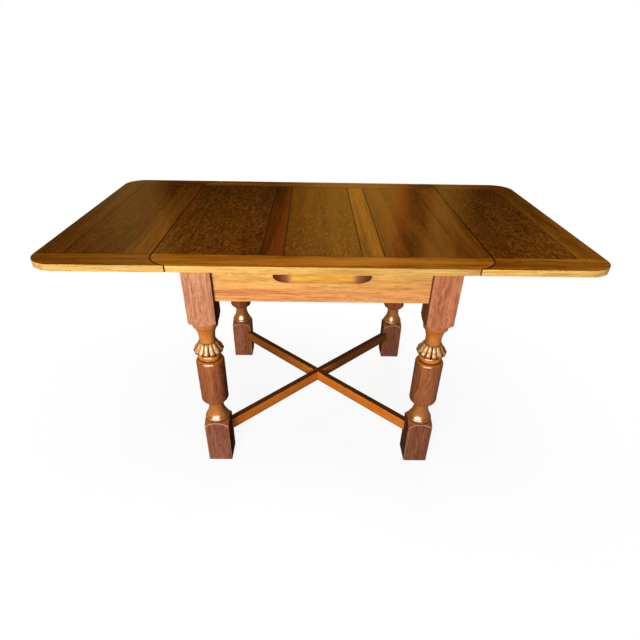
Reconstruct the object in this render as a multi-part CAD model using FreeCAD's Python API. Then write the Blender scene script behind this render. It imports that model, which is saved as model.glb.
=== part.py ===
import FreeCAD, Part
import math
import os

# A draw-leaf table in oak, with both leaves drawn out and level with the main top.
# X runs along the table, the front faces -Y, Z is up, and all sizes are millimetres.
# The origin is on the floor under the middle of the table.

# Overall sizes
TABLE_HEIGHT = 762.0
TOP_LENGTH = 914.0
TOP_DEPTH = 866.0
LEAF_SHARE = 0.337
BOARD_THICKNESS = 18.0
CORNER_RADIUS = 72.0
SEAM_GAP = 2.0
HORN_TIP = 1.0

# Framing of the main top and the leaves
RAIL_WIDTH = 78.0
STILE_WIDTH = 76.0
MUNTIN_WIDTH = 61.0
GROOVE_WIDTH = 6.0
GROOVE_DEPTH = 10.0
GROOVE_STOP = 12.0
TONGUE_CLEARANCE = 0.15
TONGUE_END_GAP = 0.6
PANEL_GAP = 0.4

# Legs
LEG_INSET_X = 111.5
LEG_INSET_Y = 100.5
LEG_SQUARE = 81.0
TOP_BLOCK_HEIGHT = 177.0
FOOT_HEIGHT = 175.0
TOP_SHOULDER_DROP = 16.0
FOOT_SHOULDER_DROP = 26.0
SHOULDER_SAG = 0.36
FOOT_ROUND = 5.0

# Turning between the foot block and the top block, from the foot up
BEAD_HEIGHT = 14.0
BEAD_DIAMETER = 80.0
BEAD_BULGE = 3.0
CONE_HEIGHT = 50.0
CONE_DIAMETER = 74.0
CONE_HOLLOW = 5.0
LOWER_NECK_HEIGHT = 10.5
LOWER_NECK_DIAMETER = 50.0
BARREL_DIAMETER = 88.0
BARREL_SHOULDER = 15.0
BARREL_ROUND = 19.0
COLLAR_HEIGHT = 18.0
COLLAR_DIAMETER = 66.0
COLLAR_BULGE = 3.0
BULB_HEIGHT = 43.0
BULB_DIAMETER = 93.0
BULB_LOBES = 14
LOBE_DEPTH = 4.0
BULB_QUIRK = 0.8
COVE_HEIGHT = 55.0
COVE_DIAMETER = 49.0
COVE_FOOT_DIAMETER = 52.0
COVE_HEAD_DIAMETER = 72.0
COVE_WAIST = 0.29
FILLET_HEIGHT = 16.0
FILLET_FOOT_DIAMETER = 75.0
FILLET_DIAMETER = 79.0

# Outline of the bulb: share of the way out to its widest ring, and share of its height
BULB_UNDERSIDE = ((0.0, 0.0), (0.66, 0.15), (1.0, 0.34))
BULB_FLARE = ((0.86, 0.49), (0.46, 0.72), (0.0, 1.0))

# Diagonal stretchers
STRETCHER_WIDTH = 22.0
STRETCHER_HEIGHT = 41.0
STRETCHER_RISE = 90.0
STRETCHER_HOUSING = 18.0

# Aprons and rails of the frame
APRON_HEIGHT = 101.0
APRON_THICKNESS = 22.0
APRON_SETBACK = 15.0
TENON_LENGTH = 20.0
TENON_THICKNESS = 12.0
TENON_SHOULDER = 10.0
BOTTOM_RAIL_HEIGHT = 16.0
BOTTOM_RAIL_DEPTH = 38.0
BOTTOM_RAIL_LIFT = 1.5
BOTTOM_RAIL_SHOULDER = 3.0

# Centre board, runners and stops
LEAF_RUN_GAP = 0.4
BOARD_EDGE_GAP = 2.0
BOARD_HORN_GAP = 5.0
RUNNER_WIDTH = 28.0
RUNNER_DEPTH = 24.0
RUNNER_INSET = 77.0
RUNNER_BEARING = 57.0
RUNNER_END_INSET = 27.0
RUNNER_GAP = 0.3
FENCE_WIDTH = 11.0
FENCE_DEPTH = 20.0
LANE_GAP = 0.5
STOP_LENGTH = 30.0
STOP_THICKNESS = 10.0
STOP_PLAY = 6.0
STOP_EASE = 2.0
PEG_DIAMETER = 18.0
PEG_INSET = 21.0
PEG_GAP = 1.0
PEG_SOCKET = 10.0
PEG_REACH = 26.0

# Screws
SCREW_SHANK = 4.5
SCREW_HEAD = 9.0
SCREW_HEAD_HEIGHT = 3.0
SCREW_GRIP = 12.0
SCREW_SEAT = 6.0
SCREW_INSET = 20.0
SCREW_GAP = 0.15
BOARD_SCREW_GRIP = 25.0
BOARD_SCREW_SINK = 5.0

# Drawer
DRAWER_FRONT_THICKNESS = 20.0
DRAWER_FRONT_GAP = 0.5
DRAWER_FRONT_SIDE_GAP = 0.7
DRAWER_SIDE_HEIGHT = 34.0
DRAWER_SIDE_THICKNESS = 12.0
DRAWER_LENGTH = 420.0
DRAWER_BOTTOM_THICKNESS = 4.0
DRAWER_BOTTOM_RISE = 6.0
DRAWER_BOTTOM_LAP = 5.0
DRAWER_BACK_DROP = 4.0
DRAWER_RUN_GAP = 0.3
DRAWER_TOP_GAP = 1.5
DRAWER_SLACK = 0.7
GUIDE_THICKNESS = 13.0
GUIDE_HEIGHT = 23.0
BEARER_WIDTH = 38.0
KICKER_WIDTH = 24.0
KICKER_HEIGHT = 22.0

# Finger scoop in the drawer front
SCOOP_LENGTH = 275.0
SCOOP_RUNOUT = 46.0
SCOOP_HEIGHT = 25.0
SCOOP_DEPTH = 13.0
SCOOP_LIP = 18.0

# Heights and places that follow from the sizes above
UNDER_TOP = TABLE_HEIGHT - BOARD_THICKNESS
FRAME_TOP = UNDER_TOP - BOARD_THICKNESS - LEAF_RUN_GAP
APRON_BOTTOM = FRAME_TOP - APRON_HEIGHT
HALF_LENGTH = TOP_LENGTH / 2
HALF_DEPTH = TOP_DEPTH / 2
INNER_DEPTH = HALF_DEPTH - RAIL_WIDTH
LEAF_LENGTH = TOP_LENGTH * LEAF_SHARE
LEAF_START = HALF_LENGTH + SEAM_GAP
LEAF_END = LEAF_START + LEAF_LENGTH
LEAF_TRAVEL = LEAF_LENGTH + SEAM_GAP
PANEL_LENGTH = (TOP_LENGTH - 2 * STILE_WIDTH - 2 * MUNTIN_WIDTH) / 3
MUNTIN_INNER = PANEL_LENGTH / 2
MUNTIN_OUTER = MUNTIN_INNER + MUNTIN_WIDTH
GROOVE_BOTTOM = UNDER_TOP + (BOARD_THICKNESS - GROOVE_WIDTH) / 2
GROOVE_TOP = GROOVE_BOTTOM + GROOVE_WIDTH
LEG_X = HALF_LENGTH - LEG_INSET_X
LEG_Y = HALF_DEPTH - LEG_INSET_Y
LEG_HALF = LEG_SQUARE / 2
LEG_INNER_X = LEG_X - LEG_HALF
LEG_INNER_Y = LEG_Y - LEG_HALF
APRON_OUTER_X = LEG_X + LEG_HALF - APRON_SETBACK
APRON_INNER_X = APRON_OUTER_X - APRON_THICKNESS
APRON_OUTER_Y = LEG_Y + LEG_HALF - APRON_SETBACK
APRON_INNER_Y = APRON_OUTER_Y - APRON_THICKNESS
DRAWER_BACK_FACE = -APRON_OUTER_Y + DRAWER_FRONT_THICKNESS
RAIL_FACE = DRAWER_BACK_FACE + DRAWER_FRONT_GAP
BEARER_TOP = APRON_BOTTOM + BOTTOM_RAIL_LIFT + BOTTOM_RAIL_HEIGHT
SIDE_BOTTOM = BEARER_TOP + DRAWER_RUN_GAP
SIDE_TOP = SIDE_BOTTOM + DRAWER_SIDE_HEIGHT
KICKER_BOTTOM = SIDE_TOP + DRAWER_TOP_GAP
BOARD_HALF = HALF_LENGTH - LEAF_LENGTH - BOARD_EDGE_GAP
BOARD_DEPTH = HALF_DEPTH - CORNER_RADIUS - BOARD_HORN_GAP
OUTER_LANE = LEG_INNER_Y - RUNNER_INSET
INNER_LANE = OUTER_LANE - RUNNER_WIDTH - FENCE_WIDTH - 2 * LANE_GAP
SLOPE = BOARD_THICKNESS / LEAF_TRAVEL

UP = FreeCAD.Vector(0, 0, 1)
ORIGIN = FreeCAD.Vector(0, 0, 0)
ACROSS_X = FreeCAD.Vector(1, 0, 0)
ACROSS_Y = FreeCAD.Vector(0, 1, 0)
BEYOND = 5.0
HALF_BEND = math.sqrt(0.5)


def box(x0, x1, y0, y1, z0, z1):
    """A block between two corners."""
    return Part.makeBox(x1 - x0, y1 - y0, z1 - z0, FreeCAD.Vector(x0, y0, z0))


def rod(x, y, z0, z1, diameter):
    """An upright round bar."""
    return Part.makeCylinder(diameter / 2, z1 - z0, FreeCAD.Vector(x, y, z0))


def rounded_board(half_length, half_depth, radius):
    """The top's thickness, with four rounded corners in plan."""
    board = box(-half_length, half_length, -half_depth, half_depth, UNDER_TOP, TABLE_HEIGHT)
    upright = [edge for edge in board.Edges if edge.BoundBox.ZLength > BOARD_THICKNESS / 2]
    return board.makeFillet(radius, upright)


def side_prism(points, y0, y1):
    """A solid with an outline of (x, z) points, reaching from y0 to y1."""
    corners = [FreeCAD.Vector(x, y0, z) for x, z in points]
    face = Part.Face(Part.makePolygon(corners + corners[:1]))
    return face.extrude(FreeCAD.Vector(0, y1 - y0, 0))


def turned(edges):
    """A solid of revolution about Z from a closed run of edges in the XZ plane."""
    face = Part.Face(Part.Wire(edges))
    return face.revolve(ORIGIN, UP, 360)


def profile_point(radius, height):
    return FreeCAD.Vector(radius, 0, height)


def line(start, end):
    return Part.LineSegment(start, end).toShape()


def arc(start, middle, end):
    return Part.Arc(start, middle, end).toShape()


def mirrored(shape, across):
    return shape.mirror(ORIGIN, across)


def on_side(shape, side):
    """Keep a piece made for the right end, or mirror it to the left end."""
    if side == "left":
        return mirrored(shape, ACROSS_X)
    return shape


def save(name, pieces):
    """Write one node, made of one solid or of a group of separate ones."""
    shape = pieces[0] if len(pieces) == 1 else Part.makeCompound(pieces)
    shape.exportStep(os.path.join("parts", name + ".step"))


# Main top and leaves: rails run the full length, upright members and panels stand between them


def board_rail(plan, start, end, front):
    """A rail with a groove along its inner edge."""
    far = LEAF_END + BEYOND
    rail = plan.common(box(-far, far, -HALF_DEPTH, -INNER_DEPTH, UNDER_TOP, TABLE_HEIGHT))
    groove = box(start + GROOVE_STOP, end - GROOVE_STOP, -INNER_DEPTH - GROOVE_DEPTH, -INNER_DEPTH,
                 GROOVE_BOTTOM, GROOVE_TOP)
    rail = rail.cut(groove)
    return rail if front else mirrored(rail, ACROSS_Y)


def board_member(plan, start, end, panel_before, panel_after):
    """A stile or muntin with tongues into both rails and grooves for the panels beside it."""
    member = plan.common(box(start, end, -INNER_DEPTH, INNER_DEPTH, UNDER_TOP, TABLE_HEIGHT))
    tongue_start = start + (GROOVE_DEPTH if panel_before else GROOVE_STOP)
    tongue_end = end - (GROOVE_DEPTH if panel_after else GROOVE_STOP)
    reach = INNER_DEPTH + GROOVE_DEPTH - TONGUE_END_GAP
    tongue = box(tongue_start, tongue_end, -reach, reach,
                 GROOVE_BOTTOM + TONGUE_CLEARANCE, GROOVE_TOP - TONGUE_CLEARANCE)
    if panel_before:
        member = member.cut(box(start, start + GROOVE_DEPTH, -INNER_DEPTH, INNER_DEPTH,
                                GROOVE_BOTTOM, GROOVE_TOP))
    if panel_after:
        member = member.cut(box(end - GROOVE_DEPTH, end, -INNER_DEPTH, INNER_DEPTH,
                                GROOVE_BOTTOM, GROOVE_TOP))
    return member.fuse(tongue).removeSplitter()


def board_panel(start, end):
    """A flush panel with a tongue all round."""
    panel = box(start + PANEL_GAP, end - PANEL_GAP, -INNER_DEPTH + PANEL_GAP, INNER_DEPTH - PANEL_GAP,
                UNDER_TOP, TABLE_HEIGHT)
    reach = GROOVE_DEPTH - TONGUE_END_GAP
    tongue = box(start - reach, end + reach, -INNER_DEPTH - reach, INNER_DEPTH + reach,
                 GROOVE_BOTTOM + TONGUE_CLEARANCE, GROOVE_TOP - TONGUE_CLEARANCE)
    return panel.fuse(tongue).removeSplitter()


def peg_places():
    x = MUNTIN_INNER + PEG_INSET
    return [(-x, 0.0), (x, 0.0)]


def make_main_top():
    plan = rounded_board(HALF_LENGTH, HALF_DEPTH, CORNER_RADIUS)
    save("top_rail_front", [board_rail(plan, -HALF_LENGTH, HALF_LENGTH, True)])
    save("top_rail_back", [board_rail(plan, -HALF_LENGTH, HALF_LENGTH, False)])
    stile = HALF_LENGTH - STILE_WIDTH
    save("top_stile_left", [board_member(plan, -HALF_LENGTH, -stile, False, True)])
    save("top_stile_right", [board_member(plan, stile, HALF_LENGTH, True, False)])
    pegs = [rod(x, y, FRAME_TOP - PEG_REACH, UNDER_TOP + PEG_SOCKET, PEG_DIAMETER) for x, y in peg_places()]
    save("guide_pegs", pegs)
    save("top_muntin_left", [board_member(plan, -MUNTIN_OUTER, -MUNTIN_INNER, True, True).cut(pegs)])
    save("top_muntin_right", [board_member(plan, MUNTIN_INNER, MUNTIN_OUTER, True, True).cut(pegs)])
    save("top_panel_left", [board_panel(-stile, -MUNTIN_OUTER)])
    save("top_panel_centre", [board_panel(-MUNTIN_INNER, MUNTIN_INNER)])
    save("top_panel_right", [board_panel(MUNTIN_OUTER, stile)])


def leaf_plan():
    """The right leaf in plan, with horns that wrap round the main top's corners."""
    extended = rounded_board(LEAF_END, HALF_DEPTH, CORNER_RADIUS)
    main_top = rounded_board(LEAF_START, HALF_DEPTH + SEAM_GAP, CORNER_RADIUS + SEAM_GAP)
    run = math.sqrt((CORNER_RADIUS + SEAM_GAP) ** 2 - (CORNER_RADIUS - HORN_TIP) ** 2)
    horn_end = HALF_LENGTH - CORNER_RADIUS + run
    beside = box(horn_end, LEAF_END + BEYOND, -HALF_DEPTH, HALF_DEPTH, UNDER_TOP, TABLE_HEIGHT)
    return extended.common(beside).cut(main_top)


def runner_top(x):
    """Height of a runner's upper face, which slopes down towards the middle of the table."""
    return FRAME_TOP - RUNNER_GAP + SLOPE * (x - BOARD_HALF)


def runner_bottom(x):
    return runner_top(x) - RUNNER_DEPTH


def runner_ends():
    return BOARD_HALF - RUNNER_BEARING, LEAF_END - RUNNER_END_INSET


def screw_places():
    """Screws go up through the runner into the leaf's two stiles."""
    inner_stile = LEAF_START + STILE_WIDTH - SCREW_INSET
    outer_stile = LEAF_END - STILE_WIDTH + SCREW_INSET
    return [inner_stile, outer_stile]


def leaf_screw(x, y):
    seat = UNDER_TOP - SCREW_SEAT
    head = rod(x, y, seat - SCREW_HEAD_HEIGHT, seat, SCREW_HEAD)
    return head.fuse(rod(x, y, seat, UNDER_TOP + SCREW_GRIP, SCREW_SHANK)).removeSplitter()


def leaf_screw_hole(x, y):
    seat = UNDER_TOP - SCREW_SEAT
    recess = rod(x, y, runner_bottom(x) - BEYOND, seat, SCREW_HEAD + 2 * SCREW_GAP)
    shank = rod(x, y, seat, UNDER_TOP + SCREW_GRIP + SCREW_GAP, SCREW_SHANK + 2 * SCREW_GAP)
    return recess.fuse(shank)


def leaf_runner(y):
    """A bar that tapers away under the leaf and slopes down under the centre board."""
    inner, outer = runner_ends()
    meet = BOARD_HALF + (UNDER_TOP - runner_top(BOARD_HALF)) / SLOPE
    outline = [(inner, runner_top(inner)), (meet, UNDER_TOP), (outer, UNDER_TOP),
               (outer, runner_bottom(outer)), (inner, runner_bottom(inner))]
    runner = side_prism(outline, y - RUNNER_WIDTH / 2, y + RUNNER_WIDTH / 2)
    return runner.cut([leaf_screw_hole(x, y) for x in screw_places()])


def runner_stop(y0, y1):
    """A block beside a runner that meets the end apron when the leaf is pulled right out."""
    outer = APRON_INNER_X - STOP_PLAY
    inner = outer - STOP_LENGTH
    outline = [(inner, runner_top(inner) - STOP_EASE), (outer, runner_top(outer) - STOP_EASE),
               (outer, runner_bottom(outer) + STOP_EASE), (inner, runner_bottom(inner) + STOP_EASE)]
    return side_prism(outline, y0, y1)


def make_leaf(side, lane, stop_outside):
    plan = leaf_plan()
    inner = LEAF_START + STILE_WIDTH
    outer = LEAF_END - STILE_WIDTH
    holes = [leaf_screw_hole(x, y) for x in screw_places() for y in (-lane, lane)]
    pieces = {
        "rail_front": board_rail(plan, LEAF_START, LEAF_END, True),
        "rail_back": board_rail(plan, LEAF_START, LEAF_END, False),
        "stile_inner": board_member(plan, LEAF_START, inner, False, True).cut(holes),
        "stile_outer": board_member(plan, outer, LEAF_END, True, False).cut(holes),
        "panel": board_panel(inner, outer),
        "runner_front": leaf_runner(-lane),
        "runner_back": leaf_runner(lane),
    }
    for piece, shape in pieces.items():
        save("leaf_" + side + "_" + piece, [on_side(shape, side)])
    if stop_outside:
        near = lane + RUNNER_WIDTH / 2
        far = near + STOP_THICKNESS
    else:
        far = lane - RUNNER_WIDTH / 2
        near = far - STOP_THICKNESS
    stop = on_side(runner_stop(near, far), side)
    save("leaf_" + side + "_stops", [mirrored(stop, ACROSS_Y), stop])
    screws = [on_side(leaf_screw(x, y), side) for x in screw_places() for y in (-lane, lane)]
    save("leaf_" + side + "_screws", screws)


# Fixed frame


def shoulder(block_height, flat_radius, drop):
    """A round-shouldered block end: flat in the middle, falling away to the square's corners."""
    corner = LEG_HALF * math.sqrt(2) + BEYOND
    middle = (flat_radius + corner) / 2
    top = profile_point(flat_radius, block_height)
    edge = profile_point(corner, block_height - drop)
    across = profile_point(middle, block_height - drop * SHOULDER_SAG)
    foot = profile_point(corner, 0)
    axis_top = profile_point(0, block_height)
    return turned([line(ORIGIN, axis_top), line(axis_top, top), arc(top, across, edge),
                   line(edge, foot), line(foot, ORIGIN)])


def foot_block():
    square = box(-LEG_HALF, LEG_HALF, -LEG_HALF, LEG_HALF, 0, FOOT_HEIGHT)
    around = [edge for edge in square.Edges if edge.BoundBox.ZMax < FOOT_ROUND]
    flat_radius = (BEAD_DIAMETER - BEAD_BULGE) / 2
    rounded = shoulder(FOOT_HEIGHT, flat_radius, FOOT_SHOULDER_DROP)
    return square.makeFillet(FOOT_ROUND, around).common(rounded)


def top_block():
    square = box(-LEG_HALF, LEG_HALF, -LEG_HALF, LEG_HALF, 0, TOP_BLOCK_HEIGHT)
    block = square.common(shoulder(TOP_BLOCK_HEIGHT, LEG_HALF, TOP_SHOULDER_DROP))
    block.rotate(ORIGIN, ACROSS_X, 180)
    block.translate(FreeCAD.Vector(0, 0, FRAME_TOP))
    return block


def lower_turning(barrel_bottom, barrel_top):
    """Bead, flared cone, neck, barrel and collar, from the foot block to the bulb."""
    bead_top = FOOT_HEIGHT + BEAD_HEIGHT
    cone_top = bead_top + CONE_HEIGHT
    collar_top = barrel_top + COLLAR_HEIGHT
    bead = BEAD_DIAMETER / 2
    cone = CONE_DIAMETER / 2
    neck = LOWER_NECK_DIAMETER / 2
    barrel = BARREL_DIAMETER / 2
    collar = COLLAR_DIAMETER / 2
    base = profile_point(0, FOOT_HEIGHT)
    bead_low = profile_point(bead - BEAD_BULGE, FOOT_HEIGHT)
    bead_mid = profile_point(bead, FOOT_HEIGHT + BEAD_HEIGHT / 2)
    bead_high = profile_point(cone - BEAD_BULGE, bead_top)
    cone_low = profile_point(cone, bead_top)
    cone_mid = profile_point((cone + neck) / 2 - CONE_HOLLOW, bead_top + CONE_HEIGHT / 2)
    cone_high = profile_point(neck, cone_top)
    neck_high = profile_point(neck, barrel_bottom)
    bend = 1 - HALF_BEND
    inset = BARREL_ROUND / 2
    round_start = profile_point(barrel - inset, barrel_bottom)
    round_mid = profile_point(barrel - inset * bend, barrel_bottom + BARREL_ROUND * bend)
    round_end = profile_point(barrel, barrel_bottom + BARREL_ROUND)
    side_top = profile_point(barrel, barrel_top - BARREL_SHOULDER)
    crown_mid = profile_point(barrel - (barrel - collar) * bend, barrel_top - BARREL_SHOULDER * bend)
    crown = profile_point(collar, barrel_top)
    collar_mid = profile_point(collar + COLLAR_BULGE, barrel_top + COLLAR_HEIGHT / 2)
    collar_high = profile_point(collar, collar_top)
    end = profile_point(0, collar_top)
    return turned([line(base, bead_low), arc(bead_low, bead_mid, bead_high), line(bead_high, cone_low),
                   arc(cone_low, cone_mid, cone_high), line(cone_high, neck_high),
                   line(neck_high, round_start), arc(round_start, round_mid, round_end),
                   line(round_end, side_top), arc(side_top, crown_mid, crown),
                   arc(crown, collar_mid, collar_high), line(collar_high, end), line(end, base)])


def lobed_ring(radius, height):
    """A ring of equal round lobes that meet in grooves."""
    step = 2 * math.pi / BULB_LOBES
    groove = radius - LOBE_DEPTH * radius / (BULB_DIAMETER / 2)
    edges = []
    for lobe in range(BULB_LOBES):
        points = []
        for turn, reach in ((lobe, groove), (lobe + 0.5, radius), (lobe + 1, groove)):
            angle = turn * step
            points.append(FreeCAD.Vector(reach * math.cos(angle), reach * math.sin(angle), height))
        edges.append(arc(points[0], points[1], points[2]))
    return Part.Wire(edges)


def bulb(bottom):
    """The carved bulb: it flares down to its widest ring and turns under, between two small steps."""
    widest = BULB_DIAMETER / 2
    foot = COLLAR_DIAMETER / 2 - BULB_QUIRK
    head = COVE_FOOT_DIAMETER / 2 - BULB_QUIRK
    rings = []
    for narrow, outline in ((foot, BULB_UNDERSIDE), (head, BULB_FLARE)):
        for out, rise in outline:
            rings.append(lobed_ring(narrow + (widest - narrow) * out, bottom + BULB_HEIGHT * rise))
    return Part.makeLoft(rings, True, False)


def upper_turning(bottom):
    """The cove above the bulb, flaring up to the tapered fillet under the top block."""
    cove_top = bottom + COVE_HEIGHT
    fillet_top = cove_top + FILLET_HEIGHT
    base = profile_point(0, bottom)
    cove_low = profile_point(COVE_FOOT_DIAMETER / 2, bottom)
    cove_mid = profile_point(COVE_DIAMETER / 2, bottom + COVE_HEIGHT * COVE_WAIST)
    cove_high = profile_point(COVE_HEAD_DIAMETER / 2, cove_top)
    fillet_low = profile_point(FILLET_FOOT_DIAMETER / 2, cove_top)
    fillet_high = profile_point(FILLET_DIAMETER / 2, fillet_top)
    end = profile_point(0, fillet_top)
    return turned([line(base, cove_low), arc(cove_low, cove_mid, cove_high), line(cove_high, fillet_low),
                   line(fillet_low, fillet_high), line(fillet_high, end), line(end, base)])


def leg_blank():
    """One leg standing on the origin; the barrel takes up the height that the other turnings leave."""
    barrel_bottom = FOOT_HEIGHT + BEAD_HEIGHT + CONE_HEIGHT + LOWER_NECK_HEIGHT
    fillet_top = FRAME_TOP - TOP_BLOCK_HEIGHT
    bulb_top = fillet_top - FILLET_HEIGHT - COVE_HEIGHT
    bulb_bottom = bulb_top - BULB_HEIGHT
    barrel_top = bulb_bottom - COLLAR_HEIGHT
    turnings = [lower_turning(barrel_bottom, barrel_top), bulb(bulb_bottom), upper_turning(bulb_top)]
    return foot_block().fuse(turnings + [top_block()]).removeSplitter()


def stretcher_bar(direction):
    """One diagonal bar from leg to leg, housed in their inner corners."""
    reach = math.hypot(LEG_INNER_X, LEG_INNER_Y) + STRETCHER_HOUSING
    half = STRETCHER_WIDTH / 2
    bar = box(-reach, reach, -half, half, STRETCHER_RISE, STRETCHER_RISE + STRETCHER_HEIGHT)
    bar.rotate(ORIGIN, UP, direction * math.degrees(math.atan2(LEG_INNER_Y, LEG_INNER_X)))
    return bar


def make_stretchers():
    rising = stretcher_bar(1)
    falling = stretcher_bar(-1)
    middle = STRETCHER_RISE + STRETCHER_HEIGHT / 2
    crossing = rising.common(falling)
    reach = STRETCHER_WIDTH + STRETCHER_HEIGHT
    below = box(-reach, reach, -reach, reach, STRETCHER_RISE, middle)
    above = box(-reach, reach, -reach, reach, middle, STRETCHER_RISE + STRETCHER_HEIGHT)
    save("stretcher_over", [rising.cut(crossing.common(below))])
    save("stretcher_under", [falling.cut(crossing.common(above))])


def with_tenons_y(x0, x1, z0, z1):
    """A rail between the front and back legs, with a tenon at each end."""
    rail = box(x0, x1, -LEG_INNER_Y, LEG_INNER_Y, z0, z1)
    middle = (x0 + x1) / 2
    reach = LEG_INNER_Y + TENON_LENGTH
    tenon = box(middle - TENON_THICKNESS / 2, middle + TENON_THICKNESS / 2, -reach, reach,
                z0 + TENON_SHOULDER, z1 - TENON_SHOULDER)
    return rail.fuse(tenon).removeSplitter()


def with_tenons_x(y0, y1, z0, z1, shoulder_height):
    """A rail between the left and right legs, with a tenon at each end."""
    rail = box(-LEG_INNER_X, LEG_INNER_X, y0, y1, z0, z1)
    middle = (y0 + y1) / 2
    reach = LEG_INNER_X + TENON_LENGTH
    tenon = box(-reach, reach, middle - TENON_THICKNESS / 2, middle + TENON_THICKNESS / 2,
                z0 + shoulder_height, z1 - shoulder_height)
    return rail.fuse(tenon).removeSplitter()


def end_apron(lane):
    """The right end apron, notched for the two runners of its leaf."""
    apron = with_tenons_y(APRON_INNER_X, APRON_OUTER_X, APRON_BOTTOM, FRAME_TOP)
    before = APRON_INNER_X - BEYOND
    after = APRON_OUTER_X + BEYOND
    above = FRAME_TOP + BEYOND
    outline = [(before, above), (after, above), (after, runner_bottom(after) - RUNNER_GAP),
               (before, runner_bottom(before) - RUNNER_GAP)]
    half = RUNNER_WIDTH / 2 + LANE_GAP
    return apron.cut([side_prism(outline, y - half, y + half) for y in (-lane, lane)])


def board_screw_places():
    x = BOARD_HALF - SCREW_INSET
    front = RAIL_FACE + APRON_THICKNESS / 2
    back = (APRON_INNER_Y + APRON_OUTER_Y) / 2
    return [(-x, front), (x, front), (-x, back), (x, back)]


def board_screw(x, y):
    seat = UNDER_TOP - BOARD_SCREW_SINK
    head = rod(x, y, seat, seat + SCREW_HEAD_HEIGHT, SCREW_HEAD)
    return head.fuse(rod(x, y, FRAME_TOP - BOARD_SCREW_GRIP, seat, SCREW_SHANK)).removeSplitter()


def board_screw_hole(x, y):
    seat = UNDER_TOP - BOARD_SCREW_SINK
    tip = FRAME_TOP - BOARD_SCREW_GRIP - SCREW_GAP
    recess = rod(x, y, seat, UNDER_TOP, SCREW_HEAD + 2 * SCREW_GAP)
    return recess.fuse(rod(x, y, tip, seat, SCREW_SHANK + 2 * SCREW_GAP))


def make_frame():
    screw_holes = [board_screw_hole(x, y) for x, y in board_screw_places()]
    rail_back = RAIL_FACE + APRON_THICKNESS
    top_rail = with_tenons_x(RAIL_FACE, rail_back, KICKER_BOTTOM, FRAME_TOP, TENON_SHOULDER)
    bottom_rail_back = RAIL_FACE + BOTTOM_RAIL_DEPTH
    bottom_rail = with_tenons_x(RAIL_FACE, bottom_rail_back, BEARER_TOP - BOTTOM_RAIL_HEIGHT, BEARER_TOP,
                                BOTTOM_RAIL_SHOULDER)
    back_apron = with_tenons_x(APRON_INNER_Y, APRON_OUTER_Y, APRON_BOTTOM, FRAME_TOP, TENON_SHOULDER)
    right_apron = end_apron(INNER_LANE)
    left_apron = mirrored(end_apron(OUTER_LANE), ACROSS_X)
    rails = [top_rail, bottom_rail, back_apron, right_apron, left_apron]
    joined = rails + [stretcher_bar(1), stretcher_bar(-1)]
    blank = leg_blank()
    for depth, y in (("front", -LEG_Y), ("back", LEG_Y)):
        for side, x in (("left", -LEG_X), ("right", LEG_X)):
            leg = blank.copy()
            leg.translate(FreeCAD.Vector(x, y, 0))
            save("leg_" + depth + "_" + side, [leg.cut(joined)])
    save("rail_front_top", [top_rail.cut(screw_holes)])
    save("rail_front_bottom", [bottom_rail])
    save("apron_back", [back_apron.cut(screw_holes)])
    save("apron_right", [right_apron])
    save("apron_left", [left_apron])
    make_stretchers()

    board = box(-BOARD_HALF, BOARD_HALF, -BOARD_DEPTH, BOARD_DEPTH, FRAME_TOP, UNDER_TOP)
    peg_holes = [rod(x, y, FRAME_TOP, UNDER_TOP, PEG_DIAMETER + 2 * PEG_GAP) for x, y in peg_places()]
    save("centre_board", [board.cut(peg_holes + screw_holes)])
    save("centre_board_screws", [board_screw(x, y) for x, y in board_screw_places()])
    fence_start = INNER_LANE + RUNNER_WIDTH / 2 + LANE_GAP
    fence = box(-BOARD_HALF, BOARD_HALF, fence_start, fence_start + FENCE_WIDTH,
                FRAME_TOP - FENCE_DEPTH, FRAME_TOP)
    save("runner_fences", [mirrored(fence, ACROSS_Y), fence])

    bearer = box(LEG_INNER_X - BEARER_WIDTH, LEG_INNER_X, bottom_rail_back, APRON_INNER_Y,
                 BEARER_TOP - BOTTOM_RAIL_HEIGHT, BEARER_TOP)
    guide_face = LEG_INNER_X - GUIDE_THICKNESS
    guide = box(guide_face, LEG_INNER_X, bottom_rail_back, APRON_INNER_Y,
                BEARER_TOP, BEARER_TOP + GUIDE_HEIGHT)
    kicker = box(guide_face - KICKER_WIDTH, guide_face, rail_back, APRON_INNER_Y,
                 KICKER_BOTTOM, KICKER_BOTTOM + KICKER_HEIGHT)
    for side in ("left", "right"):
        save("drawer_bearer_" + side, [on_side(bearer, side)])
        save("drawer_guide_" + side, [on_side(guide, side)])
        save("drawer_kicker_" + side, [on_side(kicker, side)])


# Drawer


def finger_scoop(face, lip):
    """A cove under a straight lip, with ends where a round cutter swings out of the wood."""
    top_front = FreeCAD.Vector(0, face, lip)
    top_back = FreeCAD.Vector(0, face + SCOOP_DEPTH, lip)
    bottom_front = FreeCAD.Vector(0, face, lip - SCOOP_HEIGHT)
    hollow = FreeCAD.Vector(0, face + SCOOP_DEPTH * HALF_BEND, lip - SCOOP_HEIGHT * HALF_BEND)
    section = Part.Face(Part.Wire([line(top_front, top_back), arc(top_back, hollow, bottom_front),
                                   line(bottom_front, top_front)]))
    straight = SCOOP_LENGTH / 2 - SCOOP_RUNOUT
    start = section.copy()
    start.translate(FreeCAD.Vector(-straight, 0, 0))
    scoop = start.extrude(FreeCAD.Vector(2 * straight, 0, 0))
    swing = (SCOOP_RUNOUT ** 2 - SCOOP_DEPTH ** 2) / (2 * SCOOP_DEPTH)
    turn = math.degrees(math.atan2(SCOOP_RUNOUT, swing)) + BEYOND
    for sign in (-1, 1):
        end = section.copy()
        end.translate(FreeCAD.Vector(sign * straight, 0, 0))
        pivot = FreeCAD.Vector(sign * straight, face - swing, 0)
        scoop = scoop.fuse(end.revolve(pivot, UP, -sign * turn))
    return scoop


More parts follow.
